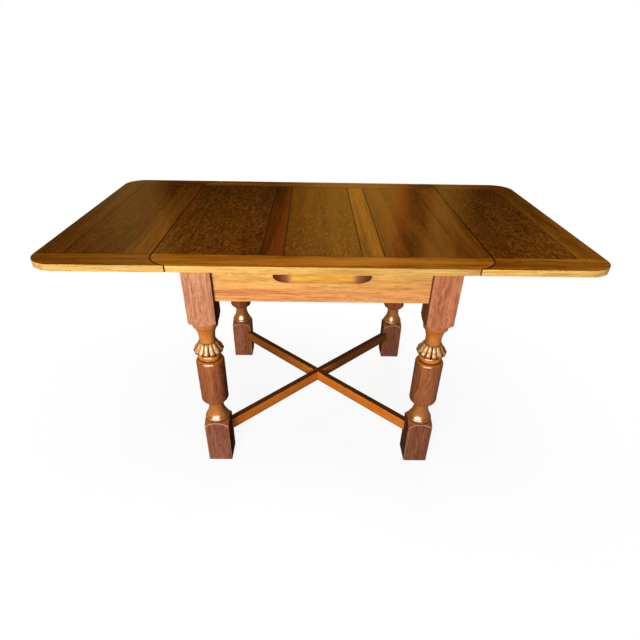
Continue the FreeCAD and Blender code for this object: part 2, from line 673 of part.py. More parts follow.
def make_drawer():
    face = -APRON_OUTER_Y
    half = LEG_INNER_X - DRAWER_FRONT_SIDE_GAP
    front = box(-half, half, face, DRAWER_BACK_FACE, APRON_BOTTOM, FRAME_TOP)
    bottom_low = SIDE_BOTTOM + DRAWER_BOTTOM_RISE
    bottom_high = bottom_low + DRAWER_BOTTOM_THICKNESS
    side_outer = LEG_INNER_X - GUIDE_THICKNESS - DRAWER_SLACK
    side_inner = side_outer - DRAWER_SIDE_THICKNESS
    bottom_half = side_inner + DRAWER_BOTTOM_LAP
    drawer_end = DRAWER_BACK_FACE + DRAWER_LENGTH
    bottom = box(-bottom_half, bottom_half, DRAWER_BACK_FACE - DRAWER_BOTTOM_LAP, drawer_end,
                 bottom_low, bottom_high)
    scoop = finger_scoop(face, FRAME_TOP - SCOOP_LIP)
    save("drawer_front", [front.cut([scoop, bottom])])
    side = box(side_inner, side_outer, DRAWER_BACK_FACE, drawer_end, SIDE_BOTTOM, SIDE_TOP).cut(bottom)
    save("drawer_side_right", [side])
    save("drawer_side_left", [mirrored(side, ACROSS_X)])
    save("drawer_back", [box(-side_inner, side_inner, drawer_end - DRAWER_SIDE_THICKNESS, drawer_end,
                             bottom_high, SIDE_TOP - DRAWER_BACK_DROP)])
    save("drawer_bottom", [bottom])


os.makedirs("parts", exist_ok=True)
make_main_top()
make_leaf("right", INNER_LANE, False)
make_leaf("left", OUTER_LANE, True)
make_frame()
make_drawer()
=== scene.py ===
import collections
import math

import bpy
from mathutils import Matrix, Vector


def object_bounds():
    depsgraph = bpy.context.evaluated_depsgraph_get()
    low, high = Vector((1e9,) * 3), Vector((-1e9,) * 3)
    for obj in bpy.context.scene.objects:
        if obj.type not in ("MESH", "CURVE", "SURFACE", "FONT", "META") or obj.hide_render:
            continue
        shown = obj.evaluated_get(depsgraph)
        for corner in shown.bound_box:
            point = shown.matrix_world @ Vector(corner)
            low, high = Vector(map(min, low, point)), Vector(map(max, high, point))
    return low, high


# An oak draw-leaf table with both leaves out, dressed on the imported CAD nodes.
# X runs along the table, the front faces -Y, Z is up, and all sizes are metres.
# Colours are linear. A pair of colours is the dark and the light wood of one oak.

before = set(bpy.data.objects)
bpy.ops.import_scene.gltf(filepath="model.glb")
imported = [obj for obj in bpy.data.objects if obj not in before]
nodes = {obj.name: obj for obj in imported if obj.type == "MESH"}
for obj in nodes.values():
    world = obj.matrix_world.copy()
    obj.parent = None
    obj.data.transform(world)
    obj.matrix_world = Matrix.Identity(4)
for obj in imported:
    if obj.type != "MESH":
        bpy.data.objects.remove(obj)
cad_low, cad_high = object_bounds()


def corners_of(name):
    """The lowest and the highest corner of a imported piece."""
    corners = [Vector(corner) for corner in nodes[name].bound_box]
    low = Vector([min(corner[axis] for corner in corners) for axis in range(3)])
    high = Vector([max(corner[axis] for corner in corners) for axis in range(3)])
    return low, high


# Outline of the extended top, and the seams between the main top and its leaves. The painted shade
# along a seam starts a little past the start of the main top's round corner.
HALF_LENGTH = cad_high[0]
HALF_DEPTH = cad_high[1]
TOP_SURFACE = cad_high[2]
CORNER_RADIUS = 0.072
MAIN_TOP_HALF = corners_of("top_stile_right")[1].x
SEAM_GAP = 0.002
SEAM_START = 0.010
EDGE_SEAM_X = corners_of("leaf_right_rail_front")[0].x
EDGE_SEAM_HALF_WIDTH = 0.0022

# The legs' middle lines, and the heights of their blocks and turnings
LEGS = ["leg_" + depth + "_" + side for depth in ("front", "back") for side in ("left", "right")]
LEG_LOW, LEG_HIGH = corners_of("leg_back_right")
LEG_X = (LEG_LOW.x + LEG_HIGH.x) / 2
LEG_Y = (LEG_LOW.y + LEG_HIGH.y) / 2
LEG_TOP = LEG_HIGH.z
BLOCK_HALF_WIDTH = 0.0405
BLOCK_BOTTOM = LEG_TOP - 0.177
COVE_TOP = BLOCK_BOTTOM - 0.016
BULB_TOP = COVE_TOP - 0.055
BULB_BOTTOM = BULB_TOP - 0.043
BULB_LOBES = 14
COLLAR_BOTTOM = BULB_BOTTOM - 0.018
BARREL_TOP = COLLAR_BOTTOM - 0.0116
FOOT_TOP = 0.175
BEAD_TOP = FOOT_TOP + 0.014
BARREL_BOTTOM = BEAD_TOP + 0.073
SHOULDER_BOTTOM = FOOT_TOP - 0.023

# The drawer front with its finger scoop, and the stretchers
DRAWER_FACE = corners_of("drawer_front")[0].y
SCOOP_LIP = LEG_TOP - 0.018
SCOOP_FOOT = SCOOP_LIP - 0.025
SCOOP_DEPTH = 0.0135
SCOOP_HALF_LENGTH = 0.1375
STRETCHER_LOW, STRETCHER_HIGH = corners_of("stretcher_over")
STRETCHER_TURN = math.atan2(STRETCHER_HIGH.y, STRETCHER_HIGH.x)


class Graph:
    """Adds and links nodes in one node tree."""

    def __init__(self, tree):
        self.tree = tree

    def add(self, kind, inputs=None, **settings):
        """A new node with the given settings, and values or links on its inputs."""
        node = self.tree.nodes.new(kind)
        for key, value in settings.items():
            setattr(node, key, value)
        for key, value in (inputs or {}).items():
            self.feed(node.inputs[key], value)
        return node

    def feed(self, socket, value):
        """Links another node's output to a socket, or sets the socket to a number or colour."""
        if isinstance(value, bpy.types.NodeSocket):
            self.tree.links.new(value, socket)
        elif isinstance(value, tuple) and socket.type == "RGBA":
            socket.default_value = (*value[:3], 1.0)
        else:
            socket.default_value = value

    def math(self, operation, first, second=0.0):
        return self.add("ShaderNodeMath", {0: first, 1: second}, operation=operation).outputs[0]

    def product(self, *factors):
        result = factors[0]
        for factor in factors[1:]:
            result = self.math("MULTIPLY", result, factor)
        return result

    def size(self, value):
        """The value without its sign."""
        return self.math("ABSOLUTE", value)

    def beyond(self, value, place):
        """How far the size of value goes past place, below 0 before it."""
        return self.math("SUBTRACT", self.size(value), place)

    def apart(self, first, second):
        """The distance between two values."""
        return self.size(self.math("SUBTRACT", first, second))

    def rest(self, share):
        """What a share leaves of 1."""
        return self.math("SUBTRACT", 1.0, share)

    def scale(self, value, start, end, before=0.0, after=1.0, curve="LINEAR"):
        """A straight change from before to after while value goes from start to end."""
        node = self.add("ShaderNodeMapRange", {"Value": value, "From Min": start, "From Max": end,
                                               "To Min": before, "To Max": after},
                        interpolation_type=curve)
        return node.outputs["Result"]

    def fade(self, value, start, end, before=0.0, after=1.0):
        """A smooth change from before to after while value goes from start to end."""
        return self.scale(value, start, end, before, after, "SMOOTHSTEP")

    def between(self, value, start, full, last, end):
        """1 while value is between full and last, with smooth changes from start and to end."""
        return self.product(self.fade(value, start, full), self.fade(value, end, last))

    def ramp(self, value, stops):
        """Colours at given places, with those between them blended."""
        first, last = stops[0][0], stops[-1][0]
        node = self.add("ShaderNodeValToRGB", {"Fac": self.scale(value, first, last)})
        elements = node.color_ramp.elements
        while len(elements) < len(stops):
            elements.new(1.0)
        for element, (place, colour) in zip(elements, stops):
            element.position = (place - first) / (last - first)
            element.color = (*colour, 1.0)
        return node.outputs[0]

    def mix(self, share, first, second, blend="MIX"):
        """The first colour, with the given share of the second one blended in."""
        node = self.add("ShaderNodeMix", data_type="RGBA", blend_type=blend)
        self.feed(node.inputs[0], share)
        self.feed(node.inputs[6], first)
        self.feed(node.inputs[7], second)
        return node.outputs[2]

    def noise(self, vector, waves, detail=3.0, roughness=0.55, distortion=0.0):
        """Cloudy noise, with the given waves per metre along X and across it."""
        along, across = waves
        stretched = self.add("ShaderNodeVectorMath", {0: vector, 1: (along, across, across)},
                             operation="MULTIPLY")
        node = self.add("ShaderNodeTexNoise", {"Vector": stretched.outputs[0], "Scale": 1.0,
                                               "Detail": detail, "Roughness": roughness,
                                               "Distortion": distortion})
        return node.outputs["Fac"]

    def separate(self, vector):
        return self.add("ShaderNodeSeparateXYZ", {0: vector}).outputs

    def point(self):
        """The point's place in the table's axes, as one vector."""
        return self.add("ShaderNodeTexCoord").outputs["Object"]

    def place(self):
        """The point's place in the table's axes, as three outputs."""
        return self.separate(self.point())

    def facing(self):
        """The flat face's own normal, as three outputs."""
        return self.separate(self.add("ShaderNodeNewGeometry").outputs["True Normal"])

    def rounding(self):
        """The smooth normal of a curved face, as three outputs."""
        return self.separate(self.add("ShaderNodeNewGeometry").outputs["Normal"])

    def creases(self, distance):
        """1 deep in the piece's own creases, 0 on its open faces."""
        node = self.add("ShaderNodeAmbientOcclusion", {"Distance": distance}, samples=8,
                        only_local=True)
        return self.fade(node.outputs["AO"], 0.86, 0.50)


def times(parts, factor):
    """A colour or a vector, multiplied by one number."""
    return tuple(factor * part for part in parts)


def new_material(name):
    """An empty material and the graph to fill it with."""
    material = bpy.data.materials.new(name)
    material.use_nodes = True
    material.node_tree.nodes.clear()
    return material, Graph(material.node_tree)


def finish_material(graph, colour, roughness, height, bump_depth, specular,
                    metallic=0.0, coat=0.0, coat_roughness=0.1):
    """Principled shader with patterned colour, roughness and bump, and varnish where coat says."""
    bump = graph.add("ShaderNodeBump", {"Height": height, "Strength": 1.0, "Distance": bump_depth})
    shader = graph.add("ShaderNodeBsdfPrincipled", {"Base Color": colour, "Roughness": roughness,
                                                    "Normal": bump.outputs[0]})
    shader.inputs["Specular IOR Level"].default_value = specular
    shader.inputs["Metallic"].default_value = metallic
    graph.feed(shader.inputs["Coat Weight"], coat)
    shader.inputs["Coat Roughness"].default_value = coat_roughness
    graph.add("ShaderNodeOutputMaterial", {"Surface": shader.outputs[0]})


# Figure of oak

# How far each direction of grain is turned to lie along X
TURN_TO_GRAIN = {"x": (0.0, 0.0, 0.0), "y": (0.0, 0.0, -math.pi / 2), "z": (0.0, math.pi / 2, 0.0),
                 "over": (0.0, 0.0, -STRETCHER_TURN), "under": (0.0, 0.0, STRETCHER_TURN)}
SHIFT_DIRECTION = (1.0, 0.37, 0.61)

# Waves per metre along and across the grain
DRIFT_WAVES = (5.0, 14.0)
BAND_WAVES = (1.6, 26.0)
LINE_WAVES = (9.0, 230.0)
WIDE_PORE_WAVES = (26.0, 260.0)
NARROW_PORE_WAVES = (38.0, 640.0)
RAY_WAVES = (60.0, 440.0)
RAY_PATCH_WAVES = (9.0, 12.0)


class Figure:
    """The figure of oak, along X in its own space: growth bands, fine lines and open pores."""

    def __init__(self, graph, along, shift, wave=0.004):
        self.graph = graph
        turned = graph.add("ShaderNodeMapping", {"Vector": graph.point(),
                                                 "Rotation": TURN_TO_GRAIN[along],
                                                 "Location": times(SHIFT_DIRECTION, shift)})
        straight = turned.outputs[0]
        drift = graph.noise(straight, DRIFT_WAVES, detail=2.0)
        drift = graph.scale(drift, 0.0, 1.0, before=-wave, after=wave)
        sideways = graph.add("ShaderNodeCombineXYZ", {1: drift, 2: drift}).outputs[0]
        wavy = graph.add("ShaderNodeVectorMath", {0: straight, 1: sideways}, operation="ADD")
        self.space = wavy.outputs[0]
        self.bands = graph.noise(self.space, BAND_WAVES, detail=3.0, roughness=0.6)
        self.lines = graph.noise(self.space, LINE_WAVES, detail=3.0, roughness=0.65)
        self.pores = graph.math("MAXIMUM", graph.product(self.pore_lines(WIDE_PORE_WAVES), 0.7),
                                self.pore_lines(NARROW_PORE_WAVES))

    def pore_lines(self, waves):
        """1 in short lines along the grain, 0 between them."""
        graph = self.graph
        return graph.fade(graph.noise(self.space, waves, detail=2.0, roughness=0.5), 0.60, 0.70)

    def shade(self, bands, low, high):
        """Light and dark wood, with the given share from bands and the rest from fine lines."""
        graph = self.graph
        mixed = graph.math("ADD", graph.product(self.bands, bands),
                           graph.product(self.lines, 1 - bands))
        return graph.fade(mixed, low, high)

    def flecks(self, lean):
        """Short bright rays that lean across the grain, in loose patches."""
        graph = self.graph
        leaning = graph.add("ShaderNodeMapping", {"Vector": self.space, "Rotation": (0.0, 0.0, lean)})
        ray = graph.noise(leaning.outputs[0], RAY_WAVES, detail=1.0, roughness=0.5, distortion=0.6)
        patch = graph.noise(self.space, RAY_PATCH_WAVES, detail=2.0, roughness=0.5)
        return graph.product(graph.fade(ray, 0.54, 0.61), graph.fade(patch, 0.20, 0.60, before=0.6))

    def roughness(self, low, high):
        """Roughness that follows the fine lines."""
        return self.graph.fade(self.lines, 0.2, 0.8, before=low, after=high)

    def relief(self):
        """Height of the surface: ribbed by the fine lines, with the pores sunk in."""
        return self.graph.math("SUBTRACT", self.graph.product(self.lines, 0.3), self.pores)


# Oak of the main top and the leaves

# The top's faces are painted far darker than the same oak on its golden edge: painted shade
TOP_DARK = (0.032, 0.0080, 0.0005)
TOP_LIGHT = (0.112, 0.0315, 0.0017)
TOP_FLECK = (0.300, 0.125, 0.014)
TOP_UNDERSIDE = (0.58, 0.37, 0.18)
TOP_COAT = 0.9
EDGE_OAK = ((0.56, 0.29, 0.067), (0.90, 0.57, 0.170))
EDGE_TONES = {"top": 1.0, "leaf_left": 0.90, "leaf_right": 1.34}
EDGE_PORE = (0.30, 0.12, 0.02)
EDGE_END = (0.50, 0.21, 0.035)
# Painted shade on the edge's upper arris, set by the way it faces
EDGE_ARRIS = (0.060, 0.022, 0.004)
SEAM_WOOD = (0.36, 0.15, 0.026)
# Painted shade along the seams, on the top's faces and on its edge
SEAM_SHADE = (0.060, 0.012, 0.002)
# Dark pores, and painted shade at the upper arris of the joints and seams
PORE_AND_JOINT_SHADE = (0.008, 0.003, 0.001)

# Depths below the surface at which a joint's painted shade ends, and at which it is as dark as it gets
JOINT_SHADE_DEPTHS = (0.0045, 0.0025)

# Distances inside the outline at which the outer edge's finish starts, and at which it is full
OUTER_EDGE_DISTANCES = (0.0045, 0.0020)

# Along which axis the grain runs, the tone at the back, how much lighter the front is as painted light,
# how red the wood is, its share of ray flecks, and their lean
Board = collections.namedtuple("Board", "name along tone near red fleck lean")
BOARDS = [
    Board("top_panel_left", "y", 0.48, 2.10, 0.4, 0.62, 0.45),
    Board("top_panel_centre", "y", 1.12, 1.15, 0.0, 0.62, 0.35),
    Board("top_panel_right", "y", 1.27, 1.22, 0.1, 0.25, 0.35),
    Board("top_muntin_left", "y", 0.50, 3.00, 0.7, 0.05, 0.35),
    Board("top_muntin_right", "y", 3.10, 0.85, -0.6, 0.10, 0.35),
    Board("top_stile_left", "y", 0.46, 2.60, 0.2, 0.55, 0.45),
    Board("top_stile_right", "y", 1.80, 0.85, 0.0, 0.20, -0.35),
    Board("top_rail_front", "x", 2.88, 1.35, -0.4, 0.05, 0.35),
    Board("top_rail_back", "x", 2.20, 1.00, -0.6, 0.05, 0.35),
    Board("leaf_left_panel", "y", 0.64, 1.10, 0.8, 0.26, 0.35),
    Board("leaf_left_stile_inner", "y", 0.90, 2.60, -0.2, 0.30, 0.35),
    Board("leaf_left_stile_outer", "y", 0.68, 1.40, 0.4, 0.15, 0.35),
    Board("leaf_left_rail_front", "x", 1.56, 1.35, -0.2, 0.05, 0.35),
    Board("leaf_left_rail_back", "x", 1.40, 1.00, 0.1, 0.05, 0.35),
    Board("leaf_right_panel", "y", 0.42, 2.50, 0.5, 0.70, -0.35),
    Board("leaf_right_stile_inner", "y", 0.60, 1.60, 0.5, 0.55, -0.35),
    Board("leaf_right_stile_outer", "y", 0.98, 2.80, -0.4, 0.20, -0.35),
    Board("leaf_right_rail_front", "x", 2.95, 1.35, -0.5, 0.05, 0.35),
    Board("leaf_right_rail_back", "x", 1.30, 1.00, 0.1, 0.05, 0.35)]
SHIFT_PER_BOARD = 1.3


def outer_edge(graph, normal):
    """1 on the outer edge of the extended top, 0 inside it and in its seams."""
    place = graph.place()
    squares = []
    turned = []
    for part, half, side in ((place[0], HALF_LENGTH, normal[0]), (place[1], HALF_DEPTH, normal[1])):
        past = graph.math("MAXIMUM", graph.beyond(part, half - CORNER_RADIUS), 0.0)
        squares.append(graph.product(past, past))
        turned.append(graph.product(past, graph.math("SIGN", part), side))
    reach = graph.math("SQRT", graph.math("ADD", *squares))
    # A little over 1, so that the level part of the normal is never 0 to divide by
    level = graph.math("SQRT", graph.math("SUBTRACT", 1.0001, graph.product(normal[2], normal[2])))
    outward = graph.math("DIVIDE", graph.math("ADD", *turned), graph.product(reach, level))
    far, close = OUTER_EDGE_DISTANCES
    return graph.product(graph.fade(reach, CORNER_RADIUS - far, CORNER_RADIUS - close),
                         graph.fade(outward, 0.80, 0.93))


def seam_shade_line(graph):
    """Painted shade along the seams between the main top and its leaves, and round the main top's
    corners.
    """
    place = graph.place()
    out = graph.beyond(place[0], MAIN_TOP_HALF - CORNER_RADIUS)
    deep = graph.math("MAXIMUM", graph.beyond(place[1], HALF_DEPTH - CORNER_RADIUS), 0.0)
    reach = graph.math("SQRT", graph.math("ADD", graph.product(out, out), graph.product(deep, deep)))
    away = graph.apart(reach, CORNER_RADIUS + SEAM_GAP / 2)
    return graph.product(graph.fade(away, 2 * SEAM_GAP, SEAM_GAP, after=0.8),
                         graph.math("GREATER_THAN", out, SEAM_START))


def top_face(graph, figure, board):
    """A board's dark face with painted light towards the front, ray flecks, and painted shade at the
    seams.
    """
    reddened = (1 + 0.20 * board.red, 1 - 0.30 * board.red, 1.0)
    light = tuple(part * change for part, change in zip(times(TOP_LIGHT, board.tone), reddened))
    bands = 0.50 - 0.25 * board.fleck
    spread = 0.12 + 0.08 * board.fleck
    pores = 0.45 - 0.30 * board.fleck
    wood = figure.shade(bands, 0.5 - spread, 0.5 + spread)
    colour = graph.mix(wood, times(TOP_DARK, board.tone), light)
    colour = graph.mix(graph.product(figure.pores, pores), colour, PORE_AND_JOINT_SHADE)
    # Painted light: each board gets lighter towards the front by its near factor, and its flecks show
    # more there
    nearer = graph.scale(graph.place()[1], HALF_DEPTH, -HALF_DEPTH)
    colour = graph.mix(nearer, colour, (board.near, board.near, board.near), "MULTIPLY")
    shown = graph.fade(nearer, 0.0, 0.7, before=0.5)
    colour = graph.mix(graph.product(figure.flecks(board.lean), board.fleck, shown), colour, TOP_FLECK)
    return graph.mix(seam_shade_line(graph), colour, SEAM_SHADE)


def top_edge(graph, figure, normal, tone):
    """The golden outer edge, darker at the table's ends, with painted shade on the arris and at the
    seams.
    """
    dark, light = EDGE_OAK
    wood = figure.shade(bands=0.35, low=0.34, high=0.66)
    colour = graph.mix(wood, times(dark, tone), times(light, tone))
    colour = graph.mix(graph.product(figure.pores, 0.45), colour, EDGE_PORE)
    colour = graph.mix(graph.fade(graph.size(normal[0]), 0.45, 0.95), colour, EDGE_END)
    colour = graph.mix(graph.fade(normal[2], 0.45, 0.75), colour, EDGE_ARRIS)
    # Painted shade where the seams cross the edge
    from_seam = graph.size(graph.beyond(graph.place()[0], EDGE_SEAM_X))
    seam = graph.fade(from_seam, EDGE_SEAM_HALF_WIDTH, 0.5 * EDGE_SEAM_HALF_WIDTH)
    return graph.mix(seam, colour, SEAM_SHADE)


def top_joint(graph):
    """The wood inside a joint or seam, with painted shade at its upper arris."""
    shade_ends, shade_full = JOINT_SHADE_DEPTHS
    joint_dark = graph.fade(graph.place()[2], TOP_SURFACE - shade_ends, TOP_SURFACE - shade_full)
    return graph.mix(joint_dark, SEAM_WOOD, PORE_AND_JOINT_SHADE)


def top_oak(board, shift):
    """Varnished top oak, painted shade on its faces and in its joints, golden on the outer edge, raw
    underneath.
    """
    material, graph = new_material("oak_" + board.name)
    figure = Figure(graph, board.along, shift)
    normal = graph.facing()
    edge_tone = next(tone for part, tone in EDGE_TONES.items() if board.name.startswith(part))
    edge = top_edge(graph, figure, normal, edge_tone)
    side = graph.mix(outer_edge(graph, normal), top_joint(graph), edge)
    # Upright faces take the face colour with its painted shade, the sides take the edge's colour
    upright = graph.fade(graph.size(normal[2]), 0.98, 0.90)
    colour = graph.mix(upright, top_face(graph, figure, board), side)
    colour = graph.mix(graph.fade(normal[2], -0.4, -0.7), colour, TOP_UNDERSIDE)
    varnish = graph.fade(normal[2], 0.90, 0.98, after=TOP_COAT)
    finish_material(graph, colour, figure.roughness(0.34, 0.48), figure.relief(), bump_depth=0.0001,
                    specular=0.06, coat=varnish, coat_roughness=0.07)
    return material


# Oak of the legs

# Colours up the leg's height
LEG_ZONES = [
    # Foot
    (0.0, (0.46, 0.200, 0.110)),
    (0.012, (0.38, 0.155, 0.092)),
    (FOOT_TOP - 0.005, (0.36, 0.138, 0.082)),
    # Bead, cone and lower neck
    (FOOT_TOP + 0.001, (0.46, 0.170, 0.040)),
    (BEAD_TOP + 0.001, (0.52, 0.195, 0.040)),
    (BEAD_TOP + 0.043, (0.50, 0.165, 0.022)),
    (BARREL_BOTTOM - 0.012, (0.45, 0.140, 0.018)),
    # Barrel
    (BARREL_BOTTOM, (0.38, 0.122, 0.043)),
    (BARREL_TOP, (0.44, 0.145, 0.048)),
    # Collar
    (COLLAR_BOTTOM + 0.0004, (0.66, 0.210, 0.022)),
    (BULB_BOTTOM - 0.0016, (0.70, 0.240, 0.032)),
    # Bulb, darker low down: painted shade on its underside
    (BULB_BOTTOM + 0.0034, (0.40, 0.125, 0.020)),
    (BULB_BOTTOM + 0.0174, (0.50, 0.180, 0.040)),
    (BULB_TOP - 0.0036, (0.78, 0.380, 0.090)),
    # Cove neck
    (BULB_TOP + 0.0024, (0.58, 0.220, 0.040)),
    (BULB_TOP + 0.0224, (0.66, 0.215, 0.020)),
    (COVE_TOP - 0.0026, (0.58, 0.160, 0.009)),
    # Fillet
    (COVE_TOP + 0.0024, (0.58, 0.190, 0.036)),
    (BLOCK_BOTTOM - 0.0026, (0.58, 0.190, 0.036)),
    # Top block
    (BLOCK_BOTTOM + 0.0034, (0.67, 0.280, 0.145)),
    (LEG_TOP + 0.0004, (0.70, 0.315, 0.165))]
LEG_DARK_GRAIN = (0.52, 0.40, 0.36)
LEG_PORE = (0.06, 0.018, 0.008)
# Painted shade in the creases, between turnings, and on the faces towards the table's middle
LEG_SHADE = (0.016, 0.005, 0.0015)
LEG_POLISH = 0.45

# Single legs that differ: side, depth, lower and upper height, and tint. The tints of the back-left
# foot and the front-right barrel are painted light
LEG_TINTS_AND_PAINTED_LIGHT = [
    (-1.0, 1.0, -0.010, FOOT_TOP - 0.010, (1.50, 1.50, 1.30)),
    (1.0, -1.0, BARREL_BOTTOM, BARREL_TOP, (1.10, 1.20, 1.30)),
    (1.0, -1.0, BLOCK_BOTTOM, LEG_TOP + 0.010, (0.98, 0.88, 0.83)),
    (-1.0, -1.0, BLOCK_BOTTOM, LEG_TOP + 0.010, (0.98, 1.05, 1.10))]
TINT_BLEND = 0.006

# Heights at which each finish, painted shade and painted highlight starts, is full, is full for the
# last time, and ends
TURNED_FINISH = (FOOT_TOP - 0.008, FOOT_TOP + 0.004, BLOCK_BOTTOM - 0.008, BLOCK_BOTTOM + 0.002)
BARREL_FINISH = (BARREL_BOTTOM - 0.022, BARREL_BOTTOM - 0.006, BARREL_TOP + 0.003, BARREL_TOP + 0.015)
CARVED_FINISH = (COLLAR_BOTTOM - 0.002, COLLAR_BOTTOM + 0.002, BULB_TOP - 0.002, BULB_TOP + 0.002)
GROOVE_SHADE_HEIGHTS = (BULB_BOTTOM, BULB_BOTTOM + 0.004, BULB_TOP - 0.003, BULB_TOP + 0.001)
CREST_HIGHLIGHT_HEIGHTS = (BULB_BOTTOM + 0.013, BULB_BOTTOM + 0.022, BULB_TOP - 0.014, BULB_TOP - 0.004)
SHOULDER_SHADE_HEIGHTS = (SHOULDER_BOTTOM - 0.002, SHOULDER_BOTTOM + 0.002, FOOT_TOP + 0.001, FOOT_TOP + 0.005)
ARCH_HIGHLIGHT_HEIGHTS = (SHOULDER_BOTTOM - 0.004, SHOULDER_BOTTOM, FOOT_TOP - 0.001, FOOT_TOP)

# Heights of the painted shade lines between turnings, and how dark they are
DARK_RINGS = [(FOOT_TOP, 0.15), (BEAD_TOP, 0.9), (COLLAR_BOTTOM, 0.9), (BULB_BOTTOM, 0.9),
              (BULB_TOP + 0.0009, 0.9), (COVE_TOP, 0.6)]
RING_HALF_WIDTH = 0.0020
CREASE_REACH = 0.008
# Pale colour on the crests of the bulb's lobes: a painted highlight
BULB_CREST_HIGHLIGHT = (0.95, 0.60, 0.24)

# The foot's rounded shoulders in painted shade, and the edge where its front and back meet them
SHOULDER_SHADE = (0.32, 0.115, 0.034)
ARCH_CROWN = FOOT_TOP - 0.0013
ARCH_DROP = 0.0163
ARCH_LINE_FAINT = 0.0050
ARCH_LINE_FULL = 0.0025
# Pale colour: a painted highlight on the foot's arched edges, and real wear on the blocks' corners
PALE_WEAR_AND_HIGHLIGHT = (0.72, 0.36, 0.17)
PALE_EDGE_SHARE = 0.9


def leg_light(graph, place):
    """The light wood of each turning and block, with the tints of single legs, two of them painted
    light.
    """
    colour = graph.ramp(place[2], LEG_ZONES)
    for side, depth, low, high, multiplier in LEG_TINTS_AND_PAINTED_LIGHT:
        there = graph.product(graph.math("GREATER_THAN", graph.product(place[0], side), 0.0),
                              graph.math("GREATER_THAN", graph.product(place[1], depth), 0.0),
                              graph.between(place[2], low - TINT_BLEND, low + TINT_BLEND,
                                            high - TINT_BLEND, high + TINT_BLEND))
        colour = graph.mix(there, colour, multiplier, "MULTIPLY")
    return colour


def bulb_wave(graph, place):
    """Goes from -1 on the crests of the bulb's lobes to 1 in the grooves between them."""
    across = graph.beyond(place[0], LEG_X)
    deep = graph.beyond(place[1], LEG_Y)
    around = graph.math("ARCTAN2", deep, across)
    return graph.math("COSINE", graph.product(around, float(BULB_LOBES)))


def bulb_groove_shade(graph, place):
    """Painted shade between the bulb's lobes."""
    return graph.product(graph.fade(bulb_wave(graph, place), 0.50, 0.99, after=0.97),
                         graph.between(place[2], *GROOVE_SHADE_HEIGHTS))


def bulb_crest_highlight(graph, place):
    """A painted highlight on the crests of the bulb's lobes."""
    return graph.product(graph.fade(bulb_wave(graph, place), 0.20, -0.90, after=0.60),
                         graph.between(place[2], *CREST_HIGHLIGHT_HEIGHTS))


def arch_highlight(graph, place, normal):
    """A painted highlight along the arched upper edge of the foot's front and back."""
    share = graph.product(graph.beyond(place[0], LEG_X), 1 / BLOCK_HALF_WIDTH)
    edge = graph.math("SUBTRACT", ARCH_CROWN, graph.product(share, share, ARCH_DROP))
    below = graph.math("SUBTRACT", edge, place[2])
    return graph.product(graph.fade(below, ARCH_LINE_FAINT, ARCH_LINE_FULL, after=PALE_EDGE_SHARE),
                         graph.between(place[2], *ARCH_HIGHLIGHT_HEIGHTS),
                         graph.fade(graph.size(normal[1]), 0.80, 0.95))


def leg_shade_highlight_and_wear(graph, place, normal, turned, colour):
    """Adds painted shade to the foot's shoulders, a painted highlight to its arches, pale wear to block
    corners.
    """
    shoulder = graph.product(graph.between(normal[2], 0.12, 0.22, 0.90, 0.97),
                             graph.between(place[2], *SHOULDER_SHADE_HEIGHTS))
    colour = graph.mix(graph.product(shoulder, 0.85), colour, SHOULDER_SHADE)
    colour = graph.mix(arch_highlight(graph, place, normal), colour, PALE_WEAR_AND_HIGHLIGHT)
    corner = graph.size(graph.product(normal[0], normal[1]))
    worn_corner = graph.product(graph.fade(corner, 0.15, 0.40, after=PALE_EDGE_SHARE), graph.rest(turned),
                                graph.fade(normal[2], 0.35, 0.15))
    return graph.mix(worn_corner, colour, PALE_WEAR_AND_HIGHLIGHT)


def leg_crease_shade(graph, place, turned):
    """Painted shade in the creases, the bulb's grooves and the lines between turnings, not on the
    blocks.
    """
    creases = graph.product(graph.creases(CREASE_REACH), 0.95)
    crease_dark = graph.math("MAXIMUM", creases, bulb_groove_shade(graph, place))
    for height, darkness in DARK_RINGS:
        ring = graph.fade(graph.apart(place[2], height), RING_HALF_WIDTH, 0.0, after=darkness)
        crease_dark = graph.math("MAXIMUM", crease_dark, ring)
    return graph.product(crease_dark, graph.math("GREATER_THAN", turned, 0.02))


def leg_inner_shade(graph, place, normal, turned):
    """Painted shade on the faces towards the middle of the table, more on the blocks."""
    inward = graph.fade(graph.product(graph.math("SIGN", place[0]), normal[0]), -0.45, -0.95)
    return graph.product(inward, graph.fade(turned, 0.0, 1.0, before=0.66, after=0.32))


def leg_polish(graph, place, normal, turned, barrel):
    """Polish on the turnings, less on the barrel, collar and bulb, and none towards the ends."""
    carved = graph.between(place[2], *CARVED_FINISH)
    dull = graph.product(graph.math("MAXIMUM", barrel, carved), 0.6)
    frontal = graph.fade(graph.size(normal[0]), 0.95, 0.55)
    return graph.product(graph.math("SUBTRACT", turned, dull), LEG_POLISH, frontal)


